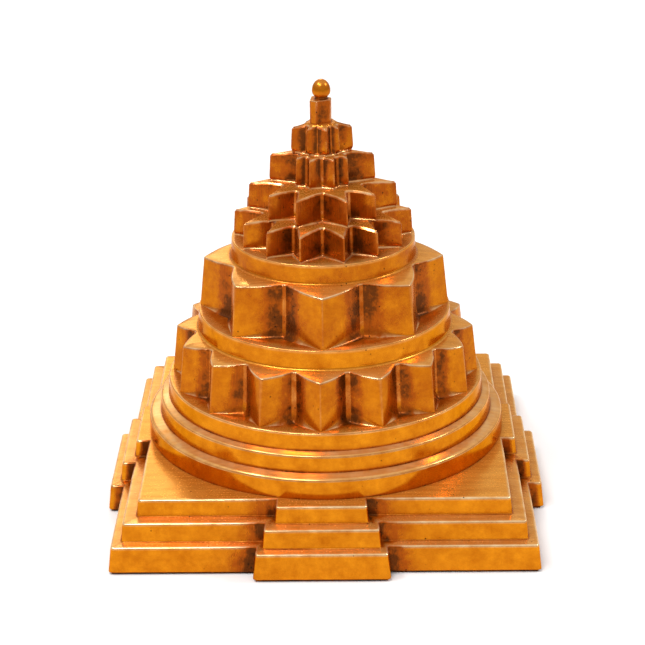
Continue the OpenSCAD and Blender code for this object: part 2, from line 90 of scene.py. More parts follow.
# %% [markdown]
# ## Outlines
# Petals and stars have the same kind of outline: points on rays, a filleted notch
# between each two, and flanks that are straight or bowed. It could be drawn as a
# curve and extruded, but here each vertex also has to know how deep in its notch it
# lies, because grime gathers there and painted shade and painted highlight follow that
# depth. So the outline is a list of points with that depth.

# %% Arcs
FRONT = -90


def polar(r, deg):
    return Vector((r * math.cos(math.radians(deg)), r * math.sin(math.radians(deg))))


def rounded(v, a, b, r, steps):
    """Arc of radius r in the corner at v between the points a and b."""
    to_a, to_b = (a - v).normalized(), (b - v).normalized()
    half = to_a.angle(to_b) / 2
    centre = v + (to_a + to_b).normalized() * (r / math.sin(half))
    start = v + to_a * (r / math.tan(half)) - centre
    sweep = start.angle_signed(v + to_b * (r / math.tan(half)) - centre)
    turn = [Matrix.Rotation(-sweep * i / steps, 2) for i in range(steps + 1)]
    return [centre + m @ start for m in turn]


def bowed(a, b, bend, steps):
    """Points strictly between a and b on an arc that bows outwards by the bend."""
    if not bend:
        return [a.lerp(b, i / steps) for i in range(1, steps)]
    chord = b - a
    r = chord.length / (2 * math.sin(math.radians(bend)))
    inward = Vector((-chord.y, chord.x)).normalized()
    centre = (a + b) / 2 + inward * r * math.cos(math.radians(bend))
    turns = [2 * math.radians(bend) * i / steps for i in range(1, steps)]
    return [centre + Matrix.Rotation(t, 2) @ (a - centre) for t in turns]


print("front of the object at", [round(c, 3) for c in polar(1, FRONT)])

# %% Outline of petals and stars
NOSE_STEPS = 4
# Depths at the end of a rounded tip and of a flank, and the share of the notch itself
NOSE_DEPTH, FLANK_DEPTH, NOTCH_DEPTH = 0.05, 0.9, 0.1
OUTSET_LIMIT = 0.6


def outline(points, notch_r, fillet, bend, tip_rounds, flank_steps, round_steps):
    """Points and notch depths (0 at a tip, 1 down in a notch) of a ring of points."""
    count = len(points)
    tips = [polar(r, FRONT + turn) for turn, r in points]
    notches = []
    for k, (turn, _) in enumerate(points):
        gap = (points[(k + 1) % count][0] - turn) % 360
        notches.append(polar(notch_r, FRONT + turn + gap / 2))
    noses = []
    for k, here in enumerate(tips):
        before, after, r = notches[k - 1], notches[k], tip_rounds[k]
        half = (before - here).angle(after - here) / 2
        sharp = here + here.normalized() * r * (1 / math.sin(half) - 1)
        noses.append(rounded(sharp, before, after, r, NOSE_STEPS))
    made = []
    for k in range(count):
        following = (k + 1) % count
        notch = rounded(notches[k], tips[k], tips[following], fillet, round_steps)
        fall = bowed(noses[k][-1], notch[0], bend, flank_steps)
        rise = bowed(notch[-1], noses[following][0], bend, flank_steps)
        made += [(p, NOSE_DEPTH * abs(2 * i / NOSE_STEPS - 1)) for i, p in enumerate(noses[k])]
        made += [(p, FLANK_DEPTH * (i + 1) / flank_steps) for i, p in enumerate(fall)]
        made += [(p, 1 - NOTCH_DEPTH * abs(2 * i / round_steps - 1)) for i, p in enumerate(notch)]
        made += [(p, FLANK_DEPTH * (1 - (i + 1) / flank_steps)) for i, p in enumerate(rise)]
    return [p for p, _ in made], [d for _, d in made]


def outward(points):
    """Direction of an even outset at each point of an anticlockwise outline."""
    made = []
    for i, p in enumerate(points):
        a = (p - points[i - 1]).normalized()
        b = (points[(i + 1) % len(points)] - p).normalized()
        n = Vector((a.y, -a.x)) + Vector((b.y, -b.x))
        made.append(n / max(OUTSET_LIMIT, n.length_squared / 2))
    return made


trial, _ = outline([(0, 10), (120, 10), (240, 10)], 4, 0.5, 0, [0.3] * 3, 8, 6)
print("points round a star of three:", len(trial))

# %% [markdown]
# ## Raising a tier from rings
# By hand, such a tier starts as a circle whose vertices are set on the outline. The
# rim is then extruded again and again: out over the foot, up the wall, round the top
# edge, over the crown, and down the bore, until it meets itself. Each vertex carries
# its number in an attribute, which extruding copies, so a rim finds its places.

# %% Ring helpers
WELD = 0.001 * MM


def circle(r, like):
    return [p.normalized() * r for p in like]


def close_up():
    """Joins the ends that meet and turns all faces outwards, in edit mode."""
    bpy.ops.mesh.select_all(action="SELECT")
    bpy.ops.mesh.remove_doubles(threshold=WELD)
    bpy.ops.mesh.normals_make_consistent(inside=False)
    bpy.ops.object.mode_set(mode="OBJECT")


def new_ring(name, count):
    """A circle of vertices that can hold grime and painted shade, and rub and painted highlight."""
    bpy.ops.object.select_all(action="DESELECT")
    bpy.ops.mesh.primitive_circle_add(vertices=count, radius=1)
    piece = bpy.context.object
    piece.name = piece.data.name = name
    for layer in ("grime_and_shade", "rub_and_highlight"):
        piece.data.attributes.new(layer, "FLOAT", "POINT")
    return piece


def raise_rings(name, rings):
    """A closed piece through rings of (points, heights, grime and shade, rub and highlight), in
    millimetres.
    """
    count = len(rings[0][0])
    piece = new_ring(name, count)
    spot = piece.data.attributes.new("spot", "INT", "POINT")
    spot.data.foreach_set("value", range(count))
    bpy.ops.object.mode_set(mode="EDIT")
    bpy.ops.mesh.select_all(action="SELECT")
    for k, (points, heights, grime_and_shade, rub_and_highlight) in enumerate(rings):
        if k:
            bpy.ops.mesh.extrude_region_move()
        bm = bmesh.from_edit_mesh(piece.data)
        number = bm.verts.layers.int["spot"]
        darkened, lightened = bm.verts.layers.float["grime_and_shade"], bm.verts.layers.float["rub_and_highlight"]
        for v in bm.verts:
            if v.select:
                i = v[number]
                v.co = (points[i].x * MM, points[i].y * MM, heights[i] * MM)
                v[darkened], v[lightened] = grime_and_shade[i], rub_and_highlight[i]
        bmesh.update_edit_mesh(piece.data)
    close_up()
    piece.data.attributes.remove(piece.data.attributes["spot"])
    return piece


def spread(value, count):
    return value if isinstance(value, list) else [value] * count


def level(points, z, grime_and_shade=0.0, rub_and_highlight=0.0):
    """A ring whose height, grime and shade, and rub and highlight are given once, or as a list for its
    points.
    """
    n = len(points)
    return points, spread(z, n), spread(grime_and_shade, n), spread(rub_and_highlight, n)


print("rings are joined where they come within", WELD / MM, "mm")

# %% [markdown]
# ## Finishing a piece
# A hand-filed casting is never quite flat, and the reflections show it. A faint cloud
# displacement gives that. Weighted normals keep the broad faces flat beside their
# narrow rounded edges.

# %% Finish helper
SHARP_ANGLE = 38


def finish(piece, node, wave=0, patch=0):
    """Waves of a height and patch size in millimetres, shading, and the piece's place."""
    bpy.ops.object.select_all(action="DESELECT")
    piece.select_set(True)
    bpy.context.view_layer.objects.active = piece
    if wave:
        clouds = bpy.data.textures.new(node + "_waves", "CLOUDS")
        clouds.noise_scale = patch * MM
        clouds.noise_depth = 1
        bpy.ops.object.modifier_add(type="DISPLACE")
        waves = piece.modifiers[-1]
        waves.texture, waves.texture_coords = clouds, "LOCAL"
        waves.strength, waves.mid_level = 2 * wave * MM, 0.5
        bpy.ops.object.modifier_apply(modifier=waves.name)
    bpy.ops.object.shade_smooth_by_angle(angle=math.radians(SHARP_ANGLE))
    bpy.ops.object.modifier_add(type="WEIGHTED_NORMAL")
    weighted = piece.modifiers[-1]
    weighted.keep_sharp = True
    bpy.ops.object.modifier_apply(modifier=weighted.name)
    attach(piece, "root")
    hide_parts(node)
    print(piece.name, len(piece.data.polygons), "faces")


print("edges sharper than", SHARP_ANGLE, "degrees stay sharp")

# %% [markdown]
# ## Walls
# Steps, petals, stars and the prism have the same parts up their sides: a fillet or a
# cut at the root, a wall, and a top edge that is rounded or chamfered. A bevel modifier
# could round the edges, but rings can also say how much grime and painted shade, and how
# much rub and painted highlight, each place has. A ring just under the edge keeps the
# pale line of rub and painted highlight thin.

# %% Rings of a wall
ARC_STEPS = 4
# Rub and painted highlight of the rings over a top edge, and painted highlight of the rings up a root
EDGE_RUB_AND_HIGHLIGHT = (0.2, 0.8, 1.0, 0.8, 0.2)
ROOT_RING_HIGHLIGHT = (0.5, 1.0, 0.3, 0.0, 0.0)
EDGE_ROOM = 1.6
EDGE_CLEAN = 0.8
ROOT_SOIL = 0.5
LAND_SOIL, HIDDEN_SOIL = 0.2, 0.3


def ramp_rings(
    low, high, foot, crown, reach, rise, edge, soil, rub_and_highlight, wall_steps,
    root_soil=None, root_highlight=None, chamfer=False,
):
    """Rings up a wall: a root fillet or cut, the wall, and a rounded or chamfered top edge."""
    n = len(low)
    root_soil = root_soil or [ROOT_SOIL] * n
    root_highlight = root_highlight or [0.0] * n
    out = outward(low)
    rings = []

    def at(i, z, shift):
        share = (z - foot) / (crown[i] - foot)
        return low[i].lerp(high[i], share) + out[i] * shift

    for k in range(ARC_STEPS + 1):
        a = math.pi / 2 * k / ARC_STEPS
        z = [foot + rise[i] * (1 - math.cos(a)) for i in range(n)]
        points = [at(i, z[i], reach[i] * (1 - math.sin(a))) for i in range(n)]
        shade = [max(g, r * (1 - k / ARC_STEPS)) for g, r in zip(soil, root_soil)]
        rings.append((points, z, shade, [ROOT_RING_HIGHLIGHT[k] * r for r in root_highlight]))
    for k in range(1, wall_steps + 1):
        share = k / wall_steps
        start = [foot + r for r in rise]
        z = [s + (c - EDGE_ROOM * edge - s) * share for s, c in zip(start, crown)]
        rings.append(([at(i, z[i], 0) for i in range(n)], z, soil, rub_and_highlight))
    for k in range(ARC_STEPS + 1):
        a = math.pi / 2 * k / ARC_STEPS
        up, back = math.sin(a), 1 - math.cos(a)
        if chamfer:
            up = back = k / ARC_STEPS
        z = [c - edge * (1 - up) for c in crown]
        points = [at(i, z[i], -edge * back) for i in range(n)]
        shade = [g * (1 - EDGE_CLEAN * k / ARC_STEPS) for g in soil]
        rings.append((points, z, shade, [EDGE_RUB_AND_HIGHLIGHT[k]] * n))
    return rings


def seat_corners(foot, top, hollow_r, seat_r):
    """Corners down the unseen middle of a tier: seat hollow, bore, and the seat below."""
    floor, under = top - SEAT_H - SEAT_GAP, foot - SEAT_H
    return (
        (hollow_r, top), (hollow_r, floor), (BORE_R, floor),
        (BORE_R, under), (seat_r, under), (seat_r, foot),
    )


def inner_rings(like, top, hollow_r, foot, seat_r):
    corners = seat_corners(foot, top, hollow_r, seat_r)
    soils = [LAND_SOIL] + [HIDDEN_SOIL] * (len(corners) - 1)
    return [level(circle(r, like), z, soil) for (r, z), soil in zip(corners, soils)]


print("rings in an edge or a root:", ARC_STEPS + 1)

# %% [markdown]
# ## Bhupura
# Three square plates, each with a gate block on every side. Their sides lean in, as a
# casting's must to leave its mould. They could be joined from boxes, but black grime
# sits in the inner corners of the gates, so the outline is a list of points that lie
# close together there. The gates at the sides reach out less than those in front and
# behind, and most of them sit a little off the middle.

# %% Outline of a step
CORNER_R, CORNER_STEPS = 1.2, 5
GATE_STEPS = 8
SIDE_GATE_SHARE = 0.77
FRONT_GATE_OFF = 0.8
# Places along a side and a gate's flank, as shares of their length from the inner corner
NEAR_SHARES = (0.0, 0.006, 0.018, 0.04, 0.075, 0.13, 0.21, 0.33, 0.5)
FAR_SHARE = 0.75
STUB_SHARES = (0.12, 0.3, 0.6)
# Grime of the crust in a corner, its width, how far it thins out, and how it fades on a flank
CRUST, CRUST_W, GRIME_SPREAD, STUB_FADE = 0.8, 2.0, 4.2, 0.3


def crust(distance):
    return CRUST if distance < CRUST_W else math.exp(-distance / GRIME_SPREAD)


def step_outline(half, gate_half, out, side_off):
    """Points of one step, and how close each lies to an inner corner of a gate."""
    points, close = [], []
    sides = (
        (SIDE_GATE_SHARE, -side_off), (1, FRONT_GATE_OFF),
        (SIDE_GATE_SHARE, side_off), (1, -FRONT_GATE_OFF),
    )
    for k, (share, off) in enumerate(sides):
        face = half + out * share
        stub = face - half - CORNER_R
        low, high = off - gate_half, off + gate_half
        first, last = low + half - CORNER_R, half - CORNER_R - high
        gate = [Vector(c) for c in ((half, low), (face, low), (face, high), (half, high))]
        run = rounded(Vector((half, -half)), Vector((0, -half)), gate[0], CORNER_R, CORNER_STEPS)
        near = [0.0] * (CORNER_STEPS + 1)
        run += [Vector((half, low - first * s)) for s in reversed(NEAR_SHARES)]
        near += [crust(first * s) for s in reversed(NEAR_SHARES)]
        run += [Vector((half + s * stub, low)) for s in STUB_SHARES]
        near += [CRUST - STUB_FADE * s for s in STUB_SHARES]
        run += rounded(gate[1], gate[0], gate[2], CORNER_R, CORNER_STEPS)
        span = high - low - 2 * CORNER_R
        run += [Vector((face, low + CORNER_R + span * i / GATE_STEPS)) for i in range(1, GATE_STEPS)]
        run += rounded(gate[2], gate[1], gate[3], CORNER_R, CORNER_STEPS)
        near += [0.0] * (2 * CORNER_STEPS + 1 + GATE_STEPS)
        run += [Vector((half + s * stub, high)) for s in reversed(STUB_SHARES)]
        near += [CRUST - STUB_FADE * s for s in reversed(STUB_SHARES)]
        run += [Vector((half, high + last * s)) for s in NEAR_SHARES + (FAR_SHARE,)]
        near += [crust(last * s) for s in NEAR_SHARES + (FAR_SHARE,)]
        turn = Matrix.Rotation(math.radians(90 * k), 2)
        points += [turn @ p for p in run]
        close += near
    return points, close


print("points round a step:", len(step_outline(68, 21, 6, 2)[0]))

# %% Sizes of the steps
STEP_DRAFT = math.tan(math.radians(5.5))
STEP_RISE, STEP_EDGE, STEP_WALL_STEPS = 0.3, 0.65, 6
# Reach of the root fillet and of the cut under the lowest wall, and the height of both
STEP_FILLET, STEP_CUT, STEP_ROOT_H = 0.35, 0.3, 0.4
# Height and inset of the foot recess under the lowest step, and the grime that paints the recess dark as
# contact shadow
FOOT_H, FOOT_INSET, FOOT_SHADOW = 0.8, 1.0, 1.0
COUNTERBORE_R, COUNTERBORE_H, COUNTERBORE_SOIL = 6.8, 4.1, 0.5
STEPS = {
    # width at the foot, gate width, reach of the front gate, offset of the side gates
    "lower_bhupura_step": (138.6, 44, 5.6, 2.4),
    "middle_bhupura_step": (130.4, 38, 5.5, 1.2),
    "upper_bhupura_step": (120.6, 30.2, 5.8, 0.0),
}
# Grime over a tread, at shares of its width from the edge, what the crust adds, and the tread's rub and
# painted highlight
TREAD_SOIL = ((0.04, 0.0), (0.3, 0.06), (0.65, 0.06), (0.9, 0.12), (1.0, 0.5))
TREAD_CRUST, TREAD_RUB_AND_HIGHLIGHT = 0.9, 0.12
# The uppermost tread runs in towards this circle, under the girdles
UPPER_LAND_R, UPPER_LAND_SHARE = 58, 0.75
names = list(STEPS)
print("steps from below:", names)

# %% Model the three steps
for k, node in enumerate(names):
    lowest, uppermost = k == 0, k == len(names) - 1
    width, gate_w, out, side_off = STEPS[node]
    foot = foot_of(node, 0 if lowest else SEAT_H)
    top = top_of(node)
    edge_z = top - (0 if uppermost else STEP_RISE)
    lean = (edge_z - foot) * STEP_DRAFT
    low, close = step_outline(width / 2, gate_w / 2, out, side_off)
    high, _ = step_outline(width / 2 - lean, gate_w / 2 - lean, out, side_off)
    n = len(low)
    rings = ramp_rings(
        low, high, foot + FOOT_H if lowest else foot, [edge_z] * n,
        [-STEP_CUT if lowest else STEP_FILLET] * n, [STEP_ROOT_H] * n,
        STEP_EDGE, close, [0.0] * n, STEP_WALL_STEPS,
    )
    rim = rings[-1][0]
    if lowest:
        # The recess is painted dark: painted shadow under the base
        recess = [p - q * FOOT_INSET for p, q in zip(low, outward(low))]
        rings = [level(recess, 0, FOOT_SHADOW), level(recess, FOOT_H, FOOT_SHADOW)] + rings
    if uppermost:
        inner = [p.lerp(p.normalized() * UPPER_LAND_R, UPPER_LAND_SHARE) for p in rim]
    else:
        width, gate_w, out, side_off = STEPS[names[k + 1]]
        inner, inner_close = step_outline(width / 2, gate_w / 2, out, side_off)
    for share, soil in TREAD_SOIL:
        tread = [p.lerp(q, share) for p, q in zip(rim, inner)]
        z = edge_z + (top - edge_z) * share
        if uppermost:
            rings.append(level(tread, z))
        else:
            darkened = [min(1, soil + TREAD_CRUST * share * c) for c in inner_close]
            rings.append(level(tread, z, darkened, TREAD_RUB_AND_HIGHLIGHT))
    hollow_r = BASE_SEAT_R + SEAT_GAP
    if lowest:
        floor = top - SEAT_H - SEAT_GAP
        for r, z, soil in (
            (hollow_r, top, HIDDEN_SOIL), (hollow_r, floor, HIDDEN_SOIL), (BORE_R, floor, HIDDEN_SOIL),
            (BORE_R, COUNTERBORE_H, COUNTERBORE_SOIL), (COUNTERBORE_R, COUNTERBORE_H, COUNTERBORE_SOIL),
            (COUNTERBORE_R, 0, HIDDEN_SOIL),
        ):
            rings.append(level(circle(r, low), z, soil))
    else:
        rings += inner_rings(low, top, hollow_r, foot, BASE_SEAT_R)
    rings.append(rings[0])
    finish(raise_rings(node + "_cast", rings), node, wave=0.06, patch=14)

# %% [markdown]
# ## How values change along a petal or a point
# Grime and painted shade, rub and painted highlight, and the root fillet all follow the
# depth in the notch. They could be painted on by hand, but sixteen petals want the same
# rule, so each is a small function of depth.

# %% Values by depth
# Depths where the floor of a notch gets a painted highlight
NOTCH_FLOOR = (0.905, 0.94)
# Crown rings, and their rub and painted highlight near the edge
CROWN_STEPS, CROWN_RUB_AND_HIGHLIGHT = 6, 0.15
LAND_MARGIN = 0.3


def smooth(x, low, high):
    t = min(1, max(0, (x - low) / (high - low)))
    return t * t * (3 - 2 * t)


def by_depth(depth, base, more, start, stop):
    """The base at a tip, and more from the start to the stop of its range of depth."""
    return [base + more * smooth(d, start, stop) for d in depth]


def flank_soil_and_shade(depth, base, more, dark, lifted, lift_range):
    """Grime and painted shade that thicken over the dark range, and are lifted again over the lift range,
    as painted light on the floor of a notch.
    """
    return [base + more * smooth(d, *dark) * (1 - lifted * smooth(d, *lift_range)) for d in depth]


def flank_rub_and_highlight(depth, tip, nose_end, notch):
    """Rub and painted highlight of the tips, and painted highlight on the notches' floors."""
    return [tip * (1 - smooth(d, 0.0, nose_end)) + notch * smooth(d, *NOTCH_FLOOR) for d in depth]


def crown_rings(rim, heights, top, land_r, sweep, soil=0.0):
    """Rings from a top edge in to the land. A sweep under 1 is full, and one over 1 is hollow."""
    rings = []
    for k in range(1, CROWN_STEPS + 1):
        share = k / CROWN_STEPS
        points, z = [], []
        for p, edge_z in zip(rim, heights):
            land = p.normalized() * min(land_r, p.length - LAND_MARGIN)
            points.append(p.lerp(land, share))
            z.append(edge_z + (top - edge_z) * share ** sweep)
        rings.append(level(points, z, soil, CROWN_RUB_AND_HIGHLIGHT * (1 - share)))
    return rings


print("rub at a tip and in a notch:", flank_rub_and_highlight((0, 1), 0.2, 0.1, 0.3))

# %% [markdown]
# ## Lotuses
# Sixteen and eight petals, each a pointed arch whose flanks lean in and bow more at the
# top than at the foot. The tips are worn, each to its own round. The tops fall away to
# the tips and rise in a full curve to the dais above. The root fillet is wide down in a
# notch and dies out at a tip, so the lit face of a petal narrows towards its foot.

# %% Sizes of the lotuses
PETAL_LEAN, PETAL_EDGE, PETAL_SWEEP = 1.8, 0.5, 0.65
PETAL_NOTCH_STEPS, PETAL_WALL_STEPS = 8, 9
# Round of an unworn tip, and the middle, spread, step and start of the worn ones
TIP_R, WORN_R, WORN_SPREAD, WORN_STEP, WORN_START = 0.5, 1.0, 0.5, 2.2, 0.6
# By depth: base, what is added, and the range of depth over which it is added
PETAL_REACH, PETAL_RISE = (0.1, 1.5, 0.05, 0.9), (0.4, 3.0, 0.05, 0.75)
# Flank and root grime is patina plus painted shade towards the notch; petal rub is rub plus painted
# highlight
PETAL_ROOT_SOIL_AND_SHADE = (0.25, 0.75, 0.5, 0.9)
PETAL_SOIL_AND_SHADE = (0.17, 0.47, (0.42, 0.76), 0.72, (0.895, 0.925))
PETAL_RUB_AND_HIGHLIGHT = (0.15, 0.05, 0.15)
# A painted highlight line along the root of each flank, which starts and stops at these depths
ROOT_LINE, ROOT_LINE_START, ROOT_LINE_STOP = 0.8, (0.1, 0.25), (0.6, 0.8)
LOTUSES = {
    # petals, turn, tip radius, notch radius, radius of the dais above, top fall, bow, notch fillet,
    # points in a flank
    "sixteen_petal_lotus": (16, -1, 51.9, 44.6, 43.34, 9, 6, 1.9, 10),
    "eight_petal_lotus": (8, 0, 41.8, 32.8, 31.63, 7, 6, 2.4, 15),
}
print("petals of the lotuses:", [lotus[0] for lotus in LOTUSES.values()])

# %% Model the lotuses
for node, (count, turn, tip_r, notch_r, land_r, fall, bow, fillet, flank) in LOTUSES.items():
    foot, top = foot_of(node), top_of(node)
    turns = [turn + 360 * k / count for k in range(count)]
    worn = [WORN_R + WORN_SPREAD * math.sin(WORN_STEP * k + WORN_START) for k in range(count)]
    worn[0] = TIP_R
    tips = [(a, tip_r) for a in turns]
    low, depth = outline(tips, notch_r, fillet, bow, [TIP_R] * count, flank, PETAL_NOTCH_STEPS)
    over = [(a, tip_r - PETAL_LEAN) for a in turns]
    over_r = notch_r - PETAL_LEAN * notch_r / tip_r / 2
    high, _ = outline(over, over_r, fillet, 2 * bow, worn, flank, PETAL_NOTCH_STEPS)
    slope = math.tan(math.radians(fall))
    crown = [top - max(0, p.length - land_r) * slope for p in high]
    # Painted highlight line along each flank's root fillet
    root_highlight = [
        ROOT_LINE * smooth(d, *ROOT_LINE_START) * (1 - smooth(d, *ROOT_LINE_STOP)) for d in depth
    ]
    rings = ramp_rings(
        low, high, foot, crown, by_depth(depth, *PETAL_REACH), by_depth(depth, *PETAL_RISE),
        PETAL_EDGE, flank_soil_and_shade(depth, *PETAL_SOIL_AND_SHADE), flank_rub_and_highlight(depth, *PETAL_RUB_AND_HIGHLIGHT),
        PETAL_WALL_STEPS, by_depth(depth, *PETAL_ROOT_SOIL_AND_SHADE), root_highlight,
    )
    rings += crown_rings(rings[-1][0], rings[-1][1], top, land_r, PETAL_SWEEP)
    rings += inner_rings(low, top, LOTUS_SEAT_R + SEAT_GAP, foot, LOTUS_SEAT_R)
    rings.append(rings[0])
    finish(raise_rings(node + "_cast", rings), node, wave=0.05, patch=8)

# %% [markdown]
# ## Stars
# Four stars stand on one another, with straight flanks and chamfered tops. A small cove
# runs round each root, and over it the points are cut under a little. The turns of the
# points are uneven, as on a star laid out by eye, and the ten-point stars are drawn out
# to the sides. The top star is solid in the middle: the tie rod ends in it from below,
# and the ball's stem from above.

# %% Sizes of the stars
STAR_LEAN, STAR_CHAMFER, STAR_SWEEP, STAR_TIP_R = 0.5, 0.65, 1.3, 0.35
STAR_FLANK_STEPS, STAR_NOTCH_STEPS, STAR_WALL_STEPS = 8, 6, 7
STAR_FILLET, CREST_FILLET = 1.1, 0.8
# Depth and height of the cut under the points
STAR_CUT, CREST_CUT = (0.5, 1.0), (0.9, 1.7)
# What the notch adds to the reach and the rise of the root, and over which depths
NOTCH_REACH, NOTCH_RISE, STAR_ROOT = 0.7, 0.2, (0.1, 0.9)
# Radius of the cove, what the notch adds to it, its height in all, its grime and its painted highlight
COVE_R, COVE_MORE, COVE_H, COVE_SOIL, COVE_HIGHLIGHT = 0.5, 0.3, 0.6, 0.1, 0.5
# Star flanks carry tarnish plus painted shade, lifted on the notch floor; tips and notch floors carry rub
# plus painted highlight
STAR_DARK, STAR_LIFTED, STAR_LIFT_RANGE = (0.2, 0.85), 0.9, (0.895, 0.93)
STAR_RUB_AND_HIGHLIGHT, STAR_ROOT_SOIL, STAR_TOP_SOIL = (0.2, 0.08, 0.25), 0.2, 0.12
# The top star's crown: its whole fall, and the length over which it falls off
CREST_FALL, CREST_BEND = 1.4, 2
# Sockets in the top star for the tie rod and for the ball's stem
GRIP_R, GRIP_H, STEM_BORE_R, STEM_H = 2.55, 5.55, 1.15, 2.45
STAR14_TURNS, STAR10_TURNS = (14, 37.5, 61, 90), (21.5, 51, 90)
STAR8_TURNS = (13, 56, 91, 137, 193, 236, 280, 317)


def all_round(quarter):
    """Turns of a star that is the same in each quarter, from those of its first one."""
    right = list(quarter) + [180 - a for a in reversed(quarter) if a < 90]
    return right + [a + 180 for a in right]


STARS = {
    # turns, turns of the long points, tip and long tip radius, notch radius, land radius, top fall,
    # grime and painted shade of a point, and what the notch adds
    "fourteen_point_star": (all_round(STAR14_TURNS), (), 29.8, 29.8, 20.4, 24.8, 6, 0.36, 0.2),
    "outer_ten_point_star": (all_round(STAR10_TURNS), (90, 270), 22.7, 24.8, 13.6, 17.7, 6, 0.36, 0.2),
    "inner_ten_point_star": (all_round(STAR10_TURNS), (90, 270), 11.2, 17.7, 7.8, 10, 6, 0.36, 0.45),
    "eight_point_star": (STAR8_TURNS, (91, 280), 7.2, 10.5, 5.4, 4.6, 11, 0.28, 0.45),
}
print("points of the stars:", [len(star[0]) for star in STARS.values()])

# %% Model the stars
for node, (turns, long_turns, tip_r, long_r, notch_r, land_r, fall, dirt_and_shade, more_dirt_and_shade) in STARS.items():
    foot, top = foot_of(node), top_of(node)
    crest = node == "eight_point_star"
    fillet = CREST_FILLET if crest else STAR_FILLET
    tip_rounds = [STAR_TIP_R] * len(turns)
    tips = [(a, long_r if a in long_turns else tip_r) for a in turns]
    low, depth = outline(tips, notch_r, fillet, 0, tip_rounds, STAR_FLANK_STEPS, STAR_NOTCH_STEPS)
    over = [(a, r - STAR_LEAN) for a, r in tips]
    over_r = notch_r - STAR_LEAN / 2
    high, _ = outline(over, over_r, fillet, 0, tip_rounds, STAR_FLANK_STEPS, STAR_NOTCH_STEPS)
    past_land = [max(0, p.length - land_r) for p in high]
    if crest:
        crown = [top - CREST_FALL * (1 - math.exp(-length / CREST_BEND)) for length in past_land]
    else:
        crown = [top - length * math.tan(math.radians(fall)) for length in past_land]
    cut, cut_h = CREST_CUT if crest else STAR_CUT
    reach = by_depth(depth, -cut, cut + NOTCH_REACH, *STAR_ROOT)
    cove = by_depth(depth, COVE_R, COVE_MORE, *STAR_ROOT)
    out = outward(low)
    rings = []
    # The cove rings carry a painted highlight
    for k in range(ARC_STEPS):
        a = math.pi / 2 * k / ARC_STEPS
        points = [p + q * (r + c * (1 - math.sin(a))) for p, q, r, c in zip(low, out, reach, cove)]
        rings.append(level(points, [foot + c * (1 - math.cos(a)) for c in cove], COVE_SOIL, COVE_HIGHLIGHT))
    rings += ramp_rings(
        low, high, foot + COVE_H, crown, reach, by_depth(depth, cut_h, NOTCH_RISE, *STAR_ROOT),
        STAR_CHAMFER, flank_soil_and_shade(depth, dirt_and_shade, more_dirt_and_shade, STAR_DARK, STAR_LIFTED, STAR_LIFT_RANGE),
        flank_rub_and_highlight(depth, *STAR_RUB_AND_HIGHLIGHT), STAR_WALL_STEPS, [STAR_ROOT_SOIL] * len(low), chamfer=True,
    )
    rings += crown_rings(rings[-1][0], rings[-1][1], top, land_r, STAR_SWEEP, STAR_TOP_SOIL)
    if crest:
        grip_z, stem_z, under = foot + GRIP_H, top - STEM_H, foot - SEAT_H
        socket = (
            (0, grip_z), (GRIP_R, grip_z), (GRIP_R, under), (CREST_SEAT_R, under), (CREST_SEAT_R, foot),
        )
        stem_bore = ((STEM_BORE_R, top), (STEM_BORE_R, stem_z), (0, stem_z))
        rings = [level(circle(r, low), z) for r, z in socket] + rings
        rings += [level(circle(r, low), z) for r, z in stem_bore]
    else:
        above = STAR_SEAT_R if node == "fourteen_point_star" else CREST_SEAT_R
        below = CREST_SEAT_R if node == "inner_ten_point_star" else STAR_SEAT_R
        rings += inner_rings(low, top, above + SEAT_GAP, foot, below)
        rings.append(rings[0])
    finish(raise_rings(node + "_cast", rings), node, wave=0.04, patch=5)

# %% [markdown]
# ## Girdles and daises
# These are turned discs. A half section is drawn as a chain of edges and spun once
# round the axis, as on a lathe. Each girdle has an edge round of its own, and brown
# patina lies on the upper one between the sixteen petals. A dais has a filleted root.

# %% Spin helper
ROUND_DRAFT = math.tan(math.radians(2.5))


def arc(centre, r, start, stop, steps):
    return [
        (centre[0] + p.x, centre[1] + p.y)
        for p in (polar(r, start + (stop - start) * i / steps) for i in range(steps + 1))
    ]


def spin_section(name, section, steps):
    """Solid of revolution from (radius, height, grime and shade, rub and highlight) points in millimetres.
    """
    piece = new_ring(name, len(section))
    for v, (r, z, grime_and_shade, rub_and_highlight) in zip(piece.data.vertices, section):
        v.co = (r * MM, 0, z * MM)
        piece.data.attributes["grime_and_shade"].data[v.index].value = grime_and_shade
        piece.data.attributes["rub_and_highlight"].data[v.index].value = rub_and_highlight
    bpy.ops.object.mode_set(mode="EDIT")
    bpy.ops.mesh.select_all(action="SELECT")
    bpy.ops.mesh.spin(steps=steps, angle=math.tau, center=(0, 0, 0), axis=(0, 0, 1))
    close_up()
    return piece


def seat_section(foot, top, above, below):
    return [(r, z, HIDDEN_SOIL, 0.0) for r, z in seat_corners(foot, top, above + SEAT_GAP, below)]


print("points in the unseen end of a section:", len(seat_section(0, 5, 20, 20)))

# %% Model the girdles
GIRDLES = {
    # radius at the top edge, foot radius of the next wall, rise of the tread, seat above, edge round,
    # grime at the inner end of the tread, painted highlight of the tread
    "lower_girdle": (60.2, 56.353, 0.5, BASE_SEAT_R, 1.2, 0.6, 0.4),
    "middle_girdle": (56.1, 53.462, 0.5, BASE_SEAT_R, 0.8, 0.6, 0.4),
    "upper_girdle": (53.2, 51.6, 0.0, LOTUS_SEAT_R, 0.6, 0.12, 0.0),
}
# Grime up the wall and in over the tread, at shares of their length
GIRDLE_SOIL = ((0, 0.6), (0.06, 0.3), (0.14, 0.06), (0.35, 0.0), (0.6, 0.0), (0.85, 0.0))
GIRDLE_TREAD = ((0.25, 0.0), (0.5, 0.0), (0.75, 0.0), (0.93, 0.25), (1.0, 1.0))
# Grime between the petals, at radii
PETAL_FLOOR = ((49.5, 0.3), (47, 0.6), (43, 0.75))
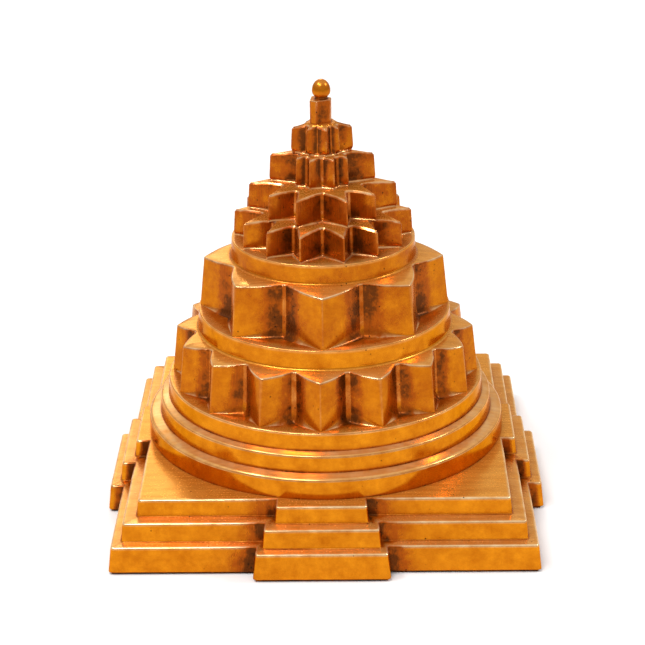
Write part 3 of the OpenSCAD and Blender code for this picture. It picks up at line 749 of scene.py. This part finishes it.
# Turn and steps of the rim arc, and its rub and painted highlight
RIM_TURN, RIM_STEPS, RIM_RUB_AND_HIGHLIGHT = 82, 8, 0.3
for node, (r, next_r, rise, above, edge, inner_soil, tread_highlight) in GIRDLES.items():
    foot, top = foot_of(node), top_of(node)
    h = top - foot - rise
    foot_r = r + h * ROUND_DRAFT
    rim_r = r - edge
    rim = arc((rim_r, foot + h - edge), edge, 0, RIM_TURN, RIM_STEPS)
    section = [(foot_r - ROUND_DRAFT * h * s, foot + h * s, soil, 0.0) for s, soil in GIRDLE_SOIL]
    section += [(a, b, 0.0, RIM_RUB_AND_HIGHLIGHT) for a, b in rim]
    section += [
        (rim_r + (next_r - rim_r) * s, foot + h + rise * s, inner_soil * part, tread_highlight)
        for s, part in GIRDLE_TREAD
    ]
    if node == "upper_girdle":
        section += [(floor_r, top, soil, 0.0) for floor_r, soil in PETAL_FLOOR]
    section += seat_section(foot, top, above, BASE_SEAT_R)
    finish(spin_section(node + "_cast", section, steps=256), node, wave=0.07, patch=12)

# %% Model the daises
DAISES = {
    # radius at the top edge, seat above, grime of the wall and of the land
    "eight_lotus_dais": (42.3, LOTUS_SEAT_R, 0.05, 0.4),
    "star_dais": (30.6, STAR_SEAT_R, 0.2, 0.3),
}
# Root flare, round of the top edge, and the edge's rub and painted highlight
DAIS_FLARE, DAIS_EDGE, DAIS_RUB_AND_HIGHLIGHT = 1.0, 0.4, 0.2
DAIS_ROOT_START, DAIS_ROOT_STEPS, DAIS_EDGE_STEPS = 258, 5, 4
DAIS_WALL_STEPS, DAIS_LAND_STEPS, DAIS_LAND_MARGIN = 5, 6, 1
for node, (r, above, wall_soil, land_soil) in DAISES.items():
    foot, top = foot_of(node), top_of(node)
    wall_foot = foot + DAIS_FLARE
    wall_h = top - wall_foot
    wall_r = r + wall_h * ROUND_DRAFT
    rim_r = r - DAIS_EDGE
    shares = [k / DAIS_WALL_STEPS for k in range(1, DAIS_WALL_STEPS)]
    wall = [(wall_r - wall_h * ROUND_DRAFT * s, wall_foot + wall_h * s) for s in shares]
    root = arc((wall_r + DAIS_FLARE, wall_foot), DAIS_FLARE, DAIS_ROOT_START, 180, DAIS_ROOT_STEPS)
    rim = arc((rim_r, top - DAIS_EDGE), DAIS_EDGE, 0, 90, DAIS_EDGE_STEPS)
    land_w = r - above - DAIS_LAND_MARGIN
    lands = [rim_r - land_w * k / DAIS_LAND_STEPS for k in range(1, DAIS_LAND_STEPS)]
    section = [(root[0][0], foot, 0.0, 0.0)]
    section += [(a, b, wall_soil, 0.0) for a, b in root + wall]
    section += [(a, b, 0.0, DAIS_RUB_AND_HIGHLIGHT) for a, b in rim]
    section += [(a, top, land_soil, 0.0) for a in lands]
    section += seat_section(foot, top, above, LOTUS_SEAT_R)
    finish(spin_section(node + "_cast", section, steps=224), node, wave=0.06, patch=9)

# %% [markdown]
# ## Trikona and bindu
# A prism on a triangle with broad cut corners, and an egg-shaped ball on a short neck.
# The prism could be a bevelled cone of three sides, but its outline and the ramp that
# the other tiers use give it the same edges. The ball is spun, with its stem, which
# runs down through the prism into the star below, as in the solids.

# %% Model the trikona
# Distances of the faces and of the cut corners from the axis
TRIKONA_FACE, TRIKONA_CORNER = 3.05, 3.7
TRIKONA_TURN, TRIKONA_OFF = 25, 0.5
TRIKONA_ROUND, ROUND_STEPS, FACE_STEPS = 0.25, 4, 5
TRIKONA_REACH, TRIKONA_RISE, TRIKONA_WALL_STEPS = 0.2, 0.4, 6
# One face is painted lighter than the rest, as lit, and the others darker, as shaded; the rounds between
# them carry rub and painted highlight
LIT_FACE, LIT_FACE_SOIL, SHADED_FACE_SOIL, ROUND_SOIL, ROUND_RUB_AND_HIGHLIGHT = 4, 0.15, 0.45, 0.3, 0.5
TOP_SHARE, TOP_SOIL, NECK_SOIL = 0.4, 0.3, 0.5
STEM_R, STEM_GAP = 1.1, 0.05
foot, top = foot_of("trikona_block", 0), top_of("trikona_block")
# Each corner is where two sides meet whose distances from the axis are known
corners = []
for k in range(6):
    a = FRONT + TRIKONA_TURN + 60 * k
    here, after = (TRIKONA_CORNER, TRIKONA_FACE) if k % 2 else (TRIKONA_FACE, TRIKONA_CORNER)
    corners.append(polar((here - after / 2) * 4 / 3, a) + polar((after - here / 2) * 4 / 3, a + 60))
rounds = [
    rounded(corners[k], corners[k - 1], corners[(k + 1) % 6], TRIKONA_ROUND, ROUND_STEPS) for k in range(6)
]
prism, nose, soil = [], [], []
for k, run in enumerate(rounds):
    following = rounds[(k + 1) % 6]
    prism += run + [run[-1].lerp(following[0], i / FACE_STEPS) for i in range(1, FACE_STEPS)]
    nose += [ROUND_RUB_AND_HIGHLIGHT] * (ROUND_STEPS + 1) + [0.0] * (FACE_STEPS - 1)
    # Less soil on the lit face and more on the others: painted light and shade
    face_shade = LIT_FACE_SOIL if k == LIT_FACE else SHADED_FACE_SOIL
    soil += [ROUND_SOIL] * (ROUND_STEPS + 1) + [face_shade] * (FACE_STEPS - 1)
bore = circle(STEM_R + STEM_GAP, prism)
prism = [p - Vector((TRIKONA_OFF, 0)) for p in prism]
n = len(prism)
rings = ramp_rings(
    prism, prism, foot, [top] * n, [TRIKONA_REACH] * n, [TRIKONA_RISE] * n,
    TRIKONA_ROUND, soil, nose, TRIKONA_WALL_STEPS,
)
rings += [
    level([p.lerp(q, TOP_SHARE) for p, q in zip(rings[-1][0], bore)], top, TOP_SOIL),
    level(bore, top, NECK_SOIL), level(bore, foot, NECK_SOIL), rings[0],
]
finish(raise_rings("trikona_block_cast", rings), "trikona_block", wave=0.03, patch=3)

# %% Model the bindu
# Half width of the ball, its height over and under its widest place, and its neck
BALL_R, BALL_RISE, BALL_DROP, NECK_R = 3.05, 3.85, 2.6, 2.1
NECK_FLARE, NECK_FLARE_H = 0.25, 0.2
STEM_SOIL, STEM_TOP_SOIL, FLARE_SOIL = 0.2, 0.4, 0.7
BALL_STEPS, BALL_SOIL, CREASE_SOIL = 22, 0.22, 0.6
neck_z = top_of("trikona_block")
ball_z = top_of("bindu") - BALL_RISE
stem_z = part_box("bindu")[0].z / MM
neck_turn = -math.degrees(math.acos(NECK_R / BALL_R))
section = [
    (0, stem_z, STEM_SOIL, 0), (STEM_R, stem_z, STEM_SOIL, 0), (STEM_R, neck_z, STEM_TOP_SOIL, 0),
    (NECK_R + NECK_FLARE, neck_z, FLARE_SOIL, 0), (NECK_R, neck_z + NECK_FLARE_H, FLARE_SOIL, 0),
]
for k in range(BALL_STEPS + 1):
    p = polar(1, neck_turn + (90 - neck_turn) * k / BALL_STEPS)
    z = ball_z + (BALL_RISE if p.y > 0 else BALL_DROP) * p.y
    section.append((BALL_R * p.x, z, BALL_SOIL if k else CREASE_SOIL, 0))
finish(spin_section("bindu_turned", section, steps=64), "bindu")

# %% [markdown]
# ## Copper-rich brass
# The whole yantra is one cast metal, between copper and brass. Faces that look up are
# brushed and veiled by a dull film of polish, and their paler tone is painted sheen;
# upright faces keep a deeper orange tone. Edges are pale, partly from rub and partly as
# painted highlight, and painted highlight also runs along roots, coves, notch floors and
# treads. A brown patina stays in the notches and turns black in the corners. It is an
# oxide, so it mirrors less than the metal. The same darkening also paints shade on petal
# and star flanks, the trikona's faces and the foot recess. All this could be painted in a
# texture, but here it follows from which way a face looks and from the grime and shade and
# the rub and highlight that the modelling put there, broken up by noise.

# %% Material helpers
def linear(code):
    """sRGB hex to the linear colour that a shader takes."""
    parts = [int(code[i:i + 2], 16) / 255 for i in (1, 3, 5)]
    return [c / 12.92 if c <= 0.04045 else ((c + 0.055) / 1.055) ** 2.4 for c in parts] + [1.0]


# In a Map Range, socket 0 is the value, 1 and 2 the range it comes from, 3 and 4 the range it goes to.
# In a colour Mix, socket 0 is the share, 6 and 7 the two colours, and output 2 the result.
def put(tree, kind, links=None, **settings):
    """Adds a node. Each of links is a socket to join or a value to set."""
    made = tree.nodes.new(kind)
    for key, value in settings.items():
        setattr(made, key, value)
    for key, value in (links or {}).items():
        if isinstance(value, bpy.types.NodeSocket):
            tree.links.new(value, made.inputs[key])
        else:
            made.inputs[key].default_value = value
    return made


def new_material(name):
    material = bpy.data.materials.new(name)
    material.use_nodes = True
    material.node_tree.nodes.clear()
    return material, material.node_tree


print("mid grey is", round(linear("#808080")[0], 3), "in linear light")

# %% Cast copper-brass: where a face is and which way it looks
brass, t = new_material("polished_cast_copper_brass")
place = put(t, "ShaderNodeTexCoord").outputs["Object"]
normal = put(t, "ShaderNodeNewGeometry").outputs["Normal"]
facing = put(t, "ShaderNodeSeparateXYZ", {0: normal}).outputs["Z"]
upward = put(
    t, "ShaderNodeMapRange", {0: facing, 1: 0.25, 2: 0.9}, interpolation_type="SMOOTHSTEP",
).outputs[0]
# The grime mask holds patina and, in places, painted shade; the rub mask holds rub and, in places, painted
# highlight
grime_and_shade = put(t, "ShaderNodeAttribute", attribute_name="grime_and_shade").outputs["Fac"]
rub_and_highlight = put(t, "ShaderNodeAttribute", attribute_name="rub_and_highlight").outputs["Fac"]
print("nodes that place the metal:", len(t.nodes))

# %% Cast copper-brass: tone
# Noise scales count patterns in a metre, so 180 gives mottles of 5.6 mm. Brush marks are
# about 1 mm apart and 17 mm long, and lie at 0.4 radians
MOTTLE_SCALE = 180.0
BRUSH_SCALE, BRUSH_TURN = (60, 950, 60), 0.4
# Mottled tone, as on a metal that tarnished and was wiped: deep orange to amber on the
# walls, and a paler tone where a face looks up, which is painted sheen
mottle = put(t, "ShaderNodeTexNoise", {
    "Vector": place, "Scale": MOTTLE_SCALE, "Detail": 6.0, "Roughness": 0.68,
}).outputs["Fac"]
cloudy = put(t, "ShaderNodeMapRange", {0: mottle, 1: 0.15, 2: 0.85}).outputs[0]
tone = put(
    t, "ShaderNodeMix", {0: cloudy, 6: linear("#A64F04"), 7: linear("#EC951A")}, data_type="RGBA",
).outputs[2]
bright = put(
    t, "ShaderNodeMix", {0: mottle, 6: linear("#DC8828"), 7: linear("#F0AC4E")}, data_type="RGBA",
).outputs[2]
# Brush marks give the faces that look up darker lines, all in one direction
brush_place = put(t, "ShaderNodeMapping", {
    "Vector": place, "Rotation": (0, 0, BRUSH_TURN), "Scale": BRUSH_SCALE,
}).outputs[0]
brush = put(t, "ShaderNodeTexNoise", {"Vector": brush_place, "Scale": 1.0, "Detail": 4.0}).outputs["Fac"]
stroke = put(t, "ShaderNodeMapRange", {0: brush, 1: 0.38, 2: 0.62, 3: 0.45, 4: 0.0}).outputs[0]
bright = put(t, "ShaderNodeMix", {0: stroke, 6: bright, 7: linear("#B06A1C")}, data_type="RGBA").outputs[2]
# Faces that look up take the paler tone: painted sheen
metal = put(t, "ShaderNodeMix", {0: upward, 6: tone, 7: bright}, data_type="RGBA").outputs[2]
# Pale where rubbed, partly from rub and partly as painted highlight, and more so in some mottles than in
# others
worn = put(t, "ShaderNodeMapRange", {0: mottle, 1: 0.3, 2: 0.65, 3: 0.2, 4: 1.0}).outputs[0]
edge_fac = put(t, "ShaderNodeMath", {0: rub_and_highlight, 1: worn}, operation="MULTIPLY").outputs[0]
metal = put(t, "ShaderNodeMix", {0: edge_fac, 6: metal, 7: linear("#FADCAE")}, data_type="RGBA").outputs[2]
print("nodes with the tone:", len(t.nodes))

# %% Cast copper-brass: patina
# Small patches of 1.8 mm in stains of 8 mm break up the grime
PATCH_SCALE, STAIN_SCALE = 560.0, 120.0
patch = put(t, "ShaderNodeTexNoise", {
    "Vector": place, "Scale": PATCH_SCALE, "Detail": 5.0, "Roughness": 0.7,
}).outputs["Fac"]
patchy = put(t, "ShaderNodeMath", {0: patch, 1: 1.9, 2: 0.05}, operation="MULTIPLY_ADD").outputs[0]
stain = put(t, "ShaderNodeTexNoise", {"Vector": place, "Scale": STAIN_SCALE, "Detail": 3.0}).outputs["Fac"]
stain = put(t, "ShaderNodeMapRange", {0: stain, 1: 0.3, 2: 0.7, 3: 0.45, 4: 1.55}).outputs[0]
patchy = put(t, "ShaderNodeMath", {0: patchy, 1: stain}, operation="MULTIPLY").outputs[0]
patina_and_shade = put(t, "ShaderNodeMath", {0: grime_and_shade, 1: patchy}, operation="MULTIPLY").outputs[0]
# As it thickens, patina is first reddish, then brown, then black; where the mask carries painted shade,
# that shade takes the same colours
red = put(t, "ShaderNodeMapRange", {0: patina_and_shade, 1: 0.0, 2: 0.38}).outputs[0]
metal = put(t, "ShaderNodeMix", {0: red, 6: metal, 7: linear("#A44C09")}, data_type="RGBA").outputs[2]
brown = put(
    t, "ShaderNodeMapRange", {0: patina_and_shade, 1: 0.36, 2: 0.8}, interpolation_type="SMOOTHSTEP",
).outputs[0]
metal = put(t, "ShaderNodeMix", {0: brown, 6: metal, 7: linear("#5E2C08")}, data_type="RGBA").outputs[2]
black = put(
    t, "ShaderNodeMapRange", {0: patina_and_shade, 1: 0.92, 2: 1.4}, interpolation_type="SMOOTHSTEP",
).outputs[0]
metal = put(t, "ShaderNodeMix", {0: black, 6: metal, 7: linear("#1A0D04")}, data_type="RGBA").outputs[2]
print("nodes with the patina:", len(t.nodes))

# %% Cast copper-brass: casting pits
# A cell of 1.5 mm may hold a black speck about 0.5 mm wide. Specks are rare on clean metal
# and crowded in grime
PIT_SCALE = 650.0
cells = put(t, "ShaderNodeTexVoronoi", {"Vector": place, "Scale": PIT_SCALE, "Randomness": 1.0})
speck = put(t, "ShaderNodeMapRange", {0: cells.outputs["Distance"], 1: 0.2, 2: 0.1}).outputs[0]
draw = put(t, "ShaderNodeSeparateColor", {0: cells.outputs["Color"]}).outputs[0]
likely = put(t, "ShaderNodeMath", {0: grime_and_shade, 1: 0.34, 2: draw}, operation="MULTIPLY_ADD").outputs[0]
chance = put(t, "ShaderNodeMapRange", {0: likely, 1: 0.968, 2: 0.985}).outputs[0]
pit = put(t, "ShaderNodeMath", {0: speck, 1: chance}, operation="MULTIPLY").outputs[0]
metal = put(t, "ShaderNodeMix", {0: pit, 6: metal, 7: linear("#221006")}, data_type="RGBA").outputs[2]
print("nodes with the pits:", len(t.nodes))

# %% Cast copper-brass: grain and surface
# File marks 0.6 mm apart run up and down the walls, over a cast grain of 1.1 mm
GRAIN_SCALE, CAST_SCALE = (1600, 1600, 60), 900.0
BUMP_DEPTH = 0.05 * MM
grain_place = put(t, "ShaderNodeMapping", {"Vector": place, "Scale": GRAIN_SCALE}).outputs[0]
grain = put(t, "ShaderNodeTexNoise", {"Vector": grain_place, "Scale": 1.0, "Detail": 3.0}).outputs["Fac"]
cast = put(t, "ShaderNodeTexNoise", {"Vector": place, "Scale": CAST_SCALE, "Detail": 3.0}).outputs["Fac"]
# Filing dulls the mirror in lines. Patina and wiped faces are duller, and rubbed edges glossier
rough = put(t, "ShaderNodeMapRange", {0: grain, 1: 0.3, 2: 0.7, 3: 0.13, 4: 0.23}).outputs[0]
rough = put(t, "ShaderNodeMath", {0: red, 1: 0.07, 2: rough}, operation="MULTIPLY_ADD").outputs[0]
rough = put(t, "ShaderNodeMath", {0: upward, 1: 0.06, 2: rough}, operation="MULTIPLY_ADD").outputs[0]
rough = put(t, "ShaderNodeMath", {0: rub_and_highlight, 1: -0.12, 2: rough}, operation="MULTIPLY_ADD").outputs[0]
ridges = put(t, "ShaderNodeMix", {0: upward, 2: grain, 3: 0.5}).outputs[0]
height = put(t, "ShaderNodeMath", {0: ridges, 1: cast}, operation="ADD").outputs[0]
height = put(t, "ShaderNodeMath", {0: pit, 1: -3.0, 2: height}, operation="MULTIPLY_ADD").outputs[0]
bump = put(t, "ShaderNodeBump", {"Height": height, "Strength": 0.14, "Distance": BUMP_DEPTH}).outputs[0]
# The film of polish shows as a satin veil on faces that look up, and patina mirrors less too
film = put(t, "ShaderNodeMapRange", {0: upward, 3: 0.95, 4: 0.62}).outputs[0]
bare = put(t, "ShaderNodeMath", {0: red, 1: -0.3, 2: film}, operation="MULTIPLY_ADD").outputs[0]
surface = put(t, "ShaderNodeBsdfPrincipled", {
    "Base Color": metal, "Metallic": bare, "Roughness": rough, "Normal": bump,
    "Specular Tint": linear("#F8D8B0"), "Specular IOR Level": 0.25,
})
put(t, "ShaderNodeOutputMaterial", {"Surface": surface.outputs[0]})
print(brass.name, "has", len(t.nodes), "nodes")

# %% [markdown]
# ## Drawn brass
# The tie rod, washer, nut and pins are stock pieces, dull and a little tarnished. They
# keep the solids' own shapes, because only the nut and washer are ever seen, from below.

# %% Drawn brass on the fixings
# Tarnish in clouds of 3.3 mm takes the yellow from dull to pale
DULL_SCALE = 300.0
drawn, t = new_material("drawn_brass_bar")
place = put(t, "ShaderNodeTexCoord").outputs["Object"]
dull = put(t, "ShaderNodeTexNoise", {"Vector": place, "Scale": DULL_SCALE, "Detail": 4.0}).outputs["Fac"]
colour = put(
    t, "ShaderNodeMix", {0: dull, 6: linear("#8A6A30"), 7: linear("#CDA75A")}, data_type="RGBA",
).outputs[2]
rough = put(t, "ShaderNodeMapRange", {0: dull, 1: 0.3, 2: 0.7, 3: 0.3, 4: 0.5}).outputs[0]
surface = put(t, "ShaderNodeBsdfPrincipled", {"Base Color": colour, "Metallic": 1.0, "Roughness": rough})
put(t, "ShaderNodeOutputMaterial", {"Surface": surface.outputs[0]})
for node in ("tie_rod", "clamp_washer", "clamp_nut", "locating_pins"):
    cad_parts[node].data.materials.clear()
    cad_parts[node].data.materials.append(drawn)
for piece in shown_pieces():
    if piece.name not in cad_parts:
        piece.data.materials.clear()
        piece.data.materials.append(brass)

# %% [markdown]
# ## Studio
# A white floor in an almost even white surround. Five small softboxes give the polished
# edges their bright lines and the treads their flashes. One large lamp overhead would
# light it evenly, but then the metal would lose its dark sides.

# %% Floor and world
FLOOR_SIZE = 6
# Strength of the surround at the horizon and overhead
HORIZON, OVERHEAD = 0.64, 0.70
bpy.ops.object.select_all(action="DESELECT")
bpy.ops.mesh.primitive_plane_add(size=FLOOR_SIZE)
floor = bpy.context.object
floor.name = "studio_floor"
paper, t = new_material("white_paper_floor")
white = put(t, "ShaderNodeBsdfDiffuse", {"Color": linear("#F8F8F8")})
put(t, "ShaderNodeOutputMaterial", {"Surface": white.outputs[0]})
floor.data.materials.append(paper)

world = bpy.data.worlds.new("white_studio")
scene.world = world
world.use_nodes = True
t = world.node_tree
t.nodes.clear()
direction = put(t, "ShaderNodeTexCoord").outputs["Generated"]
upright = put(t, "ShaderNodeSeparateXYZ", {0: direction}).outputs["Z"]
power = put(t, "ShaderNodeMapRange", {0: upright, 1: 0.0, 2: 0.9, 3: HORIZON, 4: OVERHEAD}).outputs[0]
back = put(t, "ShaderNodeBackground", {"Color": linear("#FFFFFF"), "Strength": power})
put(t, "ShaderNodeOutputWorld", {"Surface": back.outputs[0]})
print("floor of", FLOOR_SIZE, "m")

# %% Softboxes
AIM = Vector((0, 0, 0.05))
SOFTBOXES = {
    # place and size in metres, power in watts
    "softbox_left": ((-0.50, -0.20, 0.92), 0.18, 0.18, 2.8),
    "softbox_front": ((-0.26, -0.60, 1.00), 0.36, 0.18, 4.6),
    "softbox_right": ((0.85, 0.02, 0.75), 0.18, 0.18, 2.4),
    "softbox_behind": ((-0.07, 0.75, 0.70), 0.15, 0.15, 1.2),
    "softbox_low": ((-0.25, 0.90, 0.42), 0.3, 0.2, 0.4),
}
for name, (stand, width, height, energy) in SOFTBOXES.items():
    bpy.ops.object.light_add(type="AREA", location=stand)
    lamp = bpy.context.object
    lamp.name = name
    lamp.data.shape, lamp.data.energy = "RECTANGLE", energy
    lamp.data.size, lamp.data.size_y = width, height
    lamp.rotation_euler = (AIM - lamp.location).to_track_quat("-Z", "Y").to_euler()
print("softboxes:", len(SOFTBOXES))

# %% [markdown]
# ## Camera
# A long lens above the front of the object. Its place, turns and length come from a fit
# of the square steps to the photograph, because set by eye the tiers would not line up.

# %% Camera
CAMERA_AT = (0.01052, -0.69246, 0.33779)
PITCH, YAW, ROLL = 21.947, 0.925, -0.846
SENSOR, LENS = 36, 122.98
bpy.ops.object.camera_add(location=CAMERA_AT)
camera = bpy.context.object
turn = Matrix.Rotation(math.radians(YAW), 3, "Z") @ Matrix.Rotation(math.radians(90 - PITCH), 3, "X")
camera.rotation_euler = (turn @ Matrix.Rotation(math.radians(ROLL), 3, "Z")).to_euler()
camera.data.sensor_width = SENSOR
camera.data.lens = LENS
camera.data.clip_start, camera.data.clip_end = 0.01, 20
scene.camera = camera
print("camera at", round(camera.location.length, 3), "m from the middle of the base")
